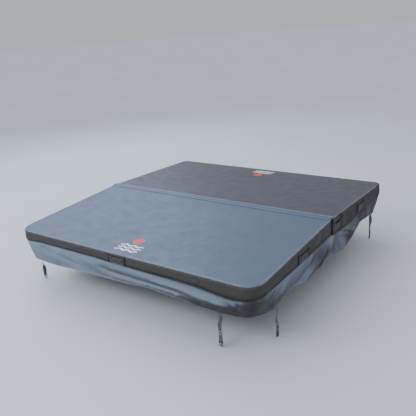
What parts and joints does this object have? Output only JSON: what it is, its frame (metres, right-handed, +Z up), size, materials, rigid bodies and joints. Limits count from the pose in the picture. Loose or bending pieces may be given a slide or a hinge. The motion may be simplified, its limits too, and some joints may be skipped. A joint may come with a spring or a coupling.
{
  "type": "spa cover",
  "caption": "Folding insulated square cover with two tapered vinyl-covered halves, hanging skirt, grab handles and tie-down straps.",
  "frame": {"origin": "centre of the underside, in the plane that rests on the spa's rim, under the middle of the fold", "axes": "+Z up, X along the fold, +Y towards the rear half"},
  "size_m": [2.165, 2.205, 0.5374],
  "materials": {
    "vinyl": "marine vinyl with a fine leather grain, satin, slate grey",
    "skirt_vinyl": "the same vinyl, hanging loose with a turned and stitched hem",
    "hinge_vinyl": "reinforced vinyl strip with rows of stitching",
    "lining": "dark woven polyethylene lining",
    "foam": "white expanded polystyrene beads",
    "film": "clear polyethylene film",
    "steel": "galvanised sheet",
    "zip": "black woven tape with a moulded coil",
    "seal": "black vinyl over foam",
    "brass": "tarnished brass",
    "webbing": "grey polypropylene webbing, ribbed weave",
    "adjuster_plastic": "grey moulded plastic",
    "clip_plastic": "black moulded acetal"
  },
  "bodies": {
    "rear_half": {"foam_core_rear": "foam", "vapour_wrap_rear": "film", "stiffener_channel_rear": "steel", "jacket_rear": "vinyl", "underside_panel_rear": "lining", "inner_wall_rear": "lining", "zip_tape_rear": "zip", "drain_grommet_rear": "brass", "skirt_rear": "skirt_vinyl", "hinge_strip": "hinge_vinyl", "hinge_seal": "seal", "handle_patch_back": "vinyl", "grab_strap_back": "vinyl", "handle_patch_rear_right": "vinyl", "grab_strap_rear_right": "vinyl", "handle_patch_rear_left": "vinyl", "grab_strap_rear_left": "vinyl", "handle_patch_fold_right": "vinyl", "grab_strap_fold_right": "vinyl", "handle_patch_fold_left": "vinyl", "grab_strap_fold_left": "vinyl"},
    "front_half": {"foam_core_front": "foam", "vapour_wrap_front": "film", "stiffener_channel_front": "steel", "jacket_front": "vinyl", "underside_panel_front": "lining", "inner_wall_front": "lining", "zip_tape_front": "zip", "drain_grommet_front": "brass", "skirt_front": "skirt_vinyl", "handle_patch_front": "vinyl", "grab_strap_front": "vinyl", "handle_patch_front_right": "vinyl", "grab_strap_front_right": "vinyl", "handle_patch_front_left": "vinyl", "grab_strap_front_left": "vinyl"},
    "zip_slider_rear": {"zip_slider_rear": "brass"},
    "zip_pull_rear": {"zip_pull_rear": "brass"},
    "zip_slider_front": {"zip_slider_front": "brass"},
    "zip_pull_front": {"zip_pull_front": "brass"},
    "tie_front": {"tie_webbing_front": "webbing", "tie_adjuster_front": "adjuster_plastic"},
    "clip_front": {"tie_clip_front": "clip_plastic"},
    "tie_front_right": {"tie_webbing_front_right": "webbing", "tie_adjuster_front_right": "adjuster_plastic"},
    "clip_front_right": {"tie_clip_front_right": "clip_plastic"},
    "tie_front_left": {"tie_webbing_front_left": "webbing", "tie_adjuster_front_left": "adjuster_plastic"},
    "clip_front_left": {"tie_clip_front_left": "clip_plastic"},
    "tie_rear_right": {"tie_webbing_rear_right": "webbing", "tie_adjuster_rear_right": "adjuster_plastic"},
    "clip_rear_right": {"tie_clip_rear_right": "clip_plastic"},
    "tie_rear_left": {"tie_webbing_rear_left": "webbing", "tie_adjuster_rear_left": "adjuster_plastic"},
    "clip_rear_left": {"tie_clip_rear_left": "clip_plastic"}
  },
  "joints": [
    {"name": "fold", "type": "hinge", "parent": "rear_half", "child": "front_half", "pos_m": [0, 0, 0.1304], "axis": [-1, 0, 0], "range_deg": [0, 184], "deforming": ["hinge_strip"]},
    {"name": "zip_rear_slide", "type": "slide", "parent": "rear_half", "child": "zip_slider_rear", "axis": [-1, 0, 0], "range_m": [0, 2.01]},
    {"name": "zip_rear_pull", "type": "hinge", "parent": "zip_slider_rear", "child": "zip_pull_rear", "pos_m": [1.005, 0.0324, -0.0078], "axis": [0, 1, 0], "range_deg": [-80, 80]},
    {"name": "zip_front_slide", "type": "slide", "parent": "front_half", "child": "zip_slider_front", "axis": [1, 0, 0], "range_m": [0, 2.01]},
    {"name": "zip_front_pull", "type": "hinge", "parent": "zip_slider_front", "child": "zip_pull_front", "pos_m": [-1.005, -0.0324, -0.0078], "axis": [0, 1, 0], "range_deg": [-80, 80]},
    {"name": "tie_front_swing", "type": "hinge", "parent": "front_half", "child": "tie_front", "pos_m": [0.78, -1.054, -0.175], "axis": [-1, 0, 0], "range_deg": [-75, 150], "deforming": ["tie_webbing_front"]},
    {"name": "clip_front_swing", "type": "hinge", "parent": "tie_front", "child": "clip_front", "pos_m": [0.78, -1.0565, -0.36], "axis": [-1, 0, 0], "range_deg": [-60, 60]},
    {"name": "tie_front_right_swing", "type": "hinge", "parent": "front_half", "child": "tie_front_right", "pos_m": [1.034, -0.79, -0.175], "axis": [0, -1, 0], "range_deg": [-75, 150], "deforming": ["tie_webbing_front_right"]},
    {"name": "clip_front_right_swing", "type": "hinge", "parent": "tie_front_right", "child": "clip_front_right", "pos_m": [1.0365, -0.79, -0.36], "axis": [0, -1, 0], "range_deg": [-60, 60]},
    {"name": "tie_front_left_swing", "type": "hinge", "parent": "front_half", "child": "tie_front_left", "pos_m": [-1.034, -0.955, -0.175], "axis": [0, 1, 0], "range_deg": [-75, 150], "deforming": ["tie_webbing_front_left"]},
    {"name": "clip_front_left_swing", "type": "hinge", "parent": "tie_front_left", "child": "clip_front_left", "pos_m": [-1.0365, -0.955, -0.36], "axis": [0, 1, 0], "range_deg": [-60, 60]},
    {"name": "tie_rear_right_swing", "type": "hinge", "parent": "rear_half", "child": "tie_rear_right", "pos_m": [1.029, 0.958, -0.175], "axis": [0, -1, 0], "range_deg": [-75, 150], "deforming": ["tie_webbing_rear_right"]},
    {"name": "clip_rear_right_swing", "type": "hinge", "parent": "tie_rear_right", "child": "clip_rear_right", "pos_m": [1.0315, 0.958, -0.36], "axis": [0, -1, 0], "range_deg": [-60, 60]},
    {"name": "tie_rear_left_swing", "type": "hinge", "parent": "rear_half", "child": "tie_rear_left", "pos_m": [-1.029, 0.958, -0.175], "axis": [0, 1, 0], "range_deg": [-75, 150], "deforming": ["tie_webbing_rear_left"]},
    {"name": "clip_rear_left_swing", "type": "hinge", "parent": "tie_rear_left", "child": "clip_rear_left", "pos_m": [-1.0315, 0.958, -0.36], "axis": [0, 1, 0], "range_deg": [-60, 60]}
  ]
}
